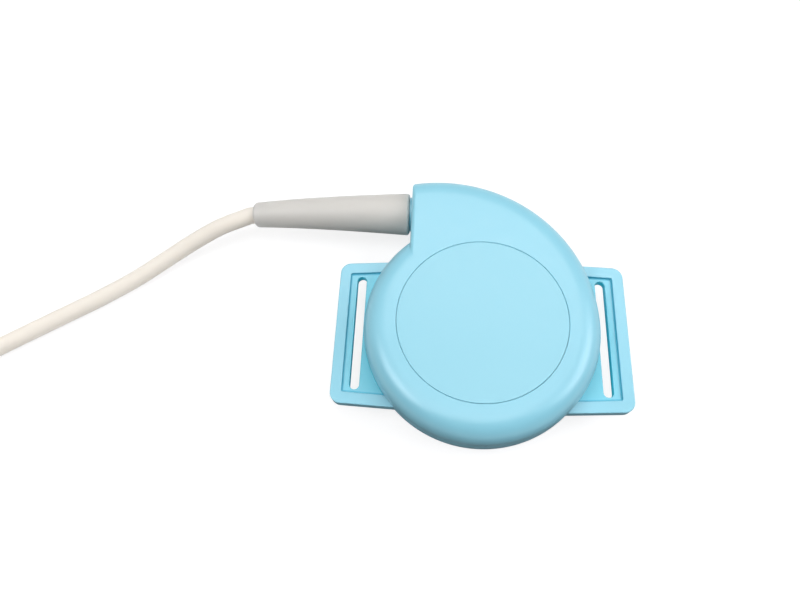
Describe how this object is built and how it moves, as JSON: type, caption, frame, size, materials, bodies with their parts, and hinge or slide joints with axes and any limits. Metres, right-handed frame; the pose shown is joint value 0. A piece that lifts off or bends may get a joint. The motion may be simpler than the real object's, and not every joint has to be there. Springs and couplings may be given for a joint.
{
  "type": "fetal monitor transducer",
  "caption": "Belt-worn ultrasound sensor: shallow snail-shaped housing with a round label disc, slotted belt wings, a tapered strain relief and a coiled cable ending in a round plug.",
  "frame": {"origin": "centre of the round patient face, on the surface the transducer lies on", "axes": "+Z out of the top face and away from the patient, +X towards the right-hand belt wing, the strain relief and cable leave towards -X beyond the disc"},
  "size_m": [0.4029, 0.1003, 0.0282],
  "materials": {
    "housing_plastic": "satin pale blue moulding, lightly textured",
    "disc_plastic": "satin pale blue, plain",
    "gasket_silicone": "translucent white silicone cord",
    "screw_steel": "zinc-plated",
    "crystal_ceramic": "fired ceramic with a matt silver-cream face",
    "carrier_nylon": "white nylon",
    "damping_foam": "grey closed-cell foam",
    "board_laminate": "green solder resist over laminate",
    "component_black": "moulded black package",
    "header_nylon": "natural nylon",
    "wire_plug_nylon": "white nylon",
    "relief_elastomer": "smooth warm grey, satin",
    "cable_jacket": "off-white flexible jacket, satin",
    "clamp_nylon": "grey nylon",
    "wire_red": "red insulation",
    "wire_white": "white insulation",
    "wire_green": "green insulation",
    "wire_black": "black insulation",
    "tie_strap": "woven white strap",
    "plug_plastic": "grey moulding",
    "plug_metal": "nickel plated",
    "insert_plastic": "black insulator",
    "contact_gilt": "gilt"
  },
  "bodies": {
    "root": {"top_cover": "housing_plastic", "label_disc": "disc_plastic", "base_housing": "housing_plastic", "housing_gasket": "gasket_silicone", "crystal_carrier": "carrier_nylon", "damping_pad": "damping_foam", "circuit_board": "board_laminate", "amplifier_chip": "component_black", "driver_chip": "component_black", "transformer": "component_black", "wire_header": "header_nylon", "wire_plug": "wire_plug_nylon", "strain_relief": "relief_elastomer", "cable_end": "cable_jacket", "cable_clamp": "clamp_nylon", "clamp_screw": "screw_steel", "wire_red": "wire_red", "wire_white": "wire_white", "wire_green": "wire_green", "wire_black": "wire_black", "cord_tube": "cable_jacket", "cord_coil": "cable_jacket", "coil_tie": "tie_strap", "cord_tail": "cable_jacket", "plug_boot": "relief_elastomer", "plug_grip": "plug_plastic", "plug_shell": "plug_metal", "plug_insert": "insert_plastic", "housing_screw_1": "screw_steel", "board_screw_1": "screw_steel", "housing_screw_2": "screw_steel", "board_screw_2": "screw_steel", "housing_screw_3": "screw_steel", "board_screw_3": "screw_steel", "crystal_1": "crystal_ceramic", "crystal_2": "crystal_ceramic", "crystal_3": "crystal_ceramic", "crystal_4": "crystal_ceramic", "crystal_5": "crystal_ceramic", "crystal_6": "crystal_ceramic", "crystal_7": "crystal_ceramic", "plug_pin_1": "contact_gilt", "plug_pin_2": "contact_gilt", "plug_pin_3": "contact_gilt", "plug_pin_4": "contact_gilt", "plug_pin_5": "contact_gilt", "plug_pin_6": "contact_gilt"}
  },
  "joints": []
}
